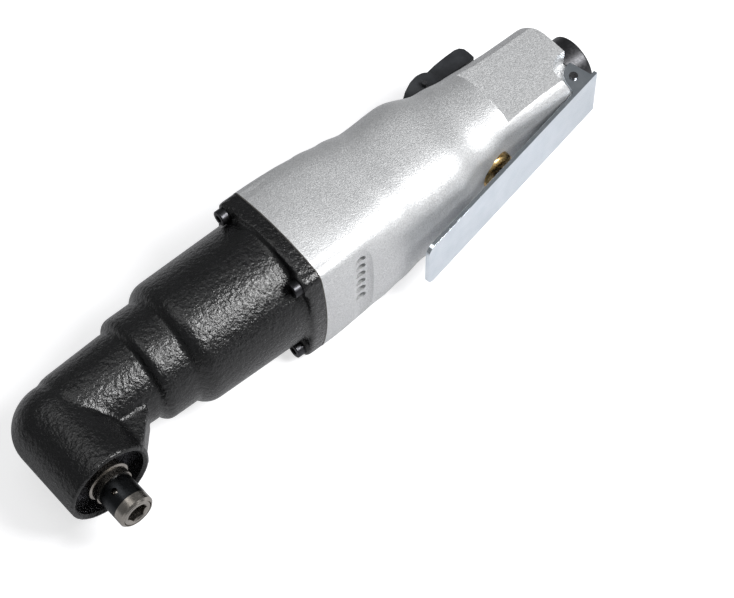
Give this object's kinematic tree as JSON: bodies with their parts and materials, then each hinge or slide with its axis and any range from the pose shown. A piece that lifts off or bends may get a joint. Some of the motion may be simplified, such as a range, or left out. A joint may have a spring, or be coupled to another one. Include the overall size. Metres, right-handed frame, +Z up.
{
  "type": "right-angle air screwdriver",
  "caption": "Right-angle air screwdriver: black gear case and bevel head with hex bit chuck, blasted aluminium grip, sheet throttle lever, reverse lever and threaded air inlet.",
  "frame": {"origin": "centre of the outer box, on the surface the tool lies on", "axes": "+X from the head back along the motor to the air inlet, -Y along the output towards the bit, +Z up as the tool lies on its side"},
  "size_m": [0.2372, 0.0686, 0.049],
  "materials": {
    "black_casting": "black paint on a sand casting, semi-gloss with orange peel",
    "blasted_aluminium": "bead-blasted aluminium casting, fine bright sparkle",
    "gasket": "pressed gasket paper",
    "black_screws": "black-oxide socket head screws",
    "motor_steel": "ground steel",
    "bearing_steel": "polished bearing steel",
    "vane_resin": "brown phenolic resin",
    "gear_steel": "hardened steel",
    "spring_steel": "blued spring steel",
    "spindle_steel": "warm grey hardened steel, polished",
    "sleeve_black": "black-oxide steel, satin",
    "bronze": "sintered bronze",
    "brass": "turned brass",
    "zinc_plate": "bright zinc-plated sheet steel",
    "pin_steel": "dark steel",
    "seal_rubber": "black nitrile rubber",
    "reverse_black": "satin black coating",
    "inlet_black": "black-oxide steel",
    "screen_wire": "bright perforated steel"
  },
  "bodies": {
    "casing": {"front_casing": "black_casting", "main_housing": "blasted_aluminium", "casing_gasket": "gasket", "flange_screws": "black_screws", "front_end_plate": "motor_steel", "front_rotor_bearing": "bearing_steel", "cylinder_liner": "motor_steel", "liner_dowels": "bearing_steel", "rear_end_plate": "motor_steel", "rear_rotor_bearing": "bearing_steel", "gear_spacer": "motor_steel", "ring_gear": "gear_steel", "carrier_bearing": "bearing_steel", "pinion_bearing": "bearing_steel", "pinion_circlip": "spring_steel", "spindle_upper_bush": "bronze", "spindle_lower_bearing": "bearing_steel", "nose_circlip": "spring_steel", "lever_pin": "pin_steel", "throttle_valve_bush": "brass", "inlet_bushing": "inlet_black", "inlet_screen": "screen_wire", "inlet_o_ring": "seal_rubber"},
    "rotor": {"rotor": "motor_steel", "rotor_vanes": "vane_resin"},
    "carrier": {"planet_carrier": "gear_steel", "planet_pins": "bearing_steel", "bevel_pinion": "gear_steel"},
    "planet_1": {"planet_gear_1": "gear_steel"},
    "planet_2": {"planet_gear_2": "gear_steel"},
    "planet_3": {"planet_gear_3": "gear_steel"},
    "spindle": {"output_spindle": "spindle_steel", "bevel_gear": "gear_steel", "bit_retaining_sleeve": "sleeve_black", "chuck_tip_ring": "spindle_steel"},
    "bit_ball": {"bit_ball": "spindle_steel"},
    "throttle_lever": {"throttle_lever": "zinc_plate"},
    "throttle_valve": {"throttle_valve_stem": "pin_steel", "throttle_o_ring": "seal_rubber", "throttle_spring": "spring_steel"},
    "reverse_lever": {"reverse_lever": "reverse_black", "reverse_valve": "pin_steel", "reverse_roll_pin": "pin_steel", "reverse_o_ring": "seal_rubber"}
  },
  "joints": [
    {"name": "rotor_spin", "type": "hinge", "parent": "casing", "child": "rotor", "pos_m": [0.01665, 0.0063, 0.0245], "axis": [1, 0, 0], "continuous": true},
    {"name": "carrier_spin", "type": "hinge", "parent": "casing", "child": "carrier", "pos_m": [-0.04335, 0.0063, 0.0245], "axis": [1, 0, 0], "continuous": true},
    {"name": "spindle_spin", "type": "hinge", "parent": "casing", "child": "spindle", "pos_m": [-0.10335, -0.0097, 0.0245], "axis": [0, 1, 0], "continuous": true},
    {"name": "planet_1_spin", "type": "hinge", "parent": "carrier", "child": "planet_1", "pos_m": [-0.03335, 0.0063, 0.0137], "axis": [1, 0, 0], "continuous": true},
    {"name": "planet_2_spin", "type": "hinge", "parent": "carrier", "child": "planet_2", "pos_m": [-0.03335, 0.01565, 0.0299], "axis": [1, 0, 0], "continuous": true},
    {"name": "planet_3_spin", "type": "hinge", "parent": "carrier", "child": "planet_3", "pos_m": [-0.03335, -0.00305, 0.0299], "axis": [1, 0, 0], "continuous": true},
    {"name": "ball_slide", "type": "slide", "parent": "spindle", "child": "bit_ball", "axis": [-0.3827, 0, 0.9239], "range_m": [0, 0.0007], "stiffness_N_per_m": 150, "springref_m": -0.0002},
    {"name": "throttle_press", "type": "hinge", "parent": "casing", "child": "throttle_lever", "pos_m": [0.10825, -0.0039, 0.0245], "axis": [0, 0, -1], "range_deg": [0, 3.2], "stiffness_Nm_per_rad": 1.2, "springref_deg": -8.59},
    {"name": "throttle_slide", "type": "slide", "parent": "casing", "child": "throttle_valve", "axis": [0, 1, 0], "range_m": [0, 0.0024], "deforming": ["throttle_spring"]},
    {"name": "reverse_turn", "type": "hinge", "parent": "casing", "child": "reverse_lever", "pos_m": [0.06965, 0.0283, 0.0245], "axis": [0, 1, 0], "range_deg": [-25, 25]}
  ],
  "couplings": [
    {"joint": "carrier_spin", "follows": "rotor_spin", "ratio": 0.25},
    {"joint": "spindle_spin", "follows": "rotor_spin", "ratio": 0.16667},
    {"joint": "planet_1_spin", "follows": "rotor_spin", "ratio": -0.75},
    {"joint": "planet_2_spin", "follows": "rotor_spin", "ratio": -0.75},
    {"joint": "planet_3_spin", "follows": "rotor_spin", "ratio": -0.75},
    {"joint": "throttle_slide", "follows": "throttle_press", "m_per_rad": 0.0424}
  ]
}
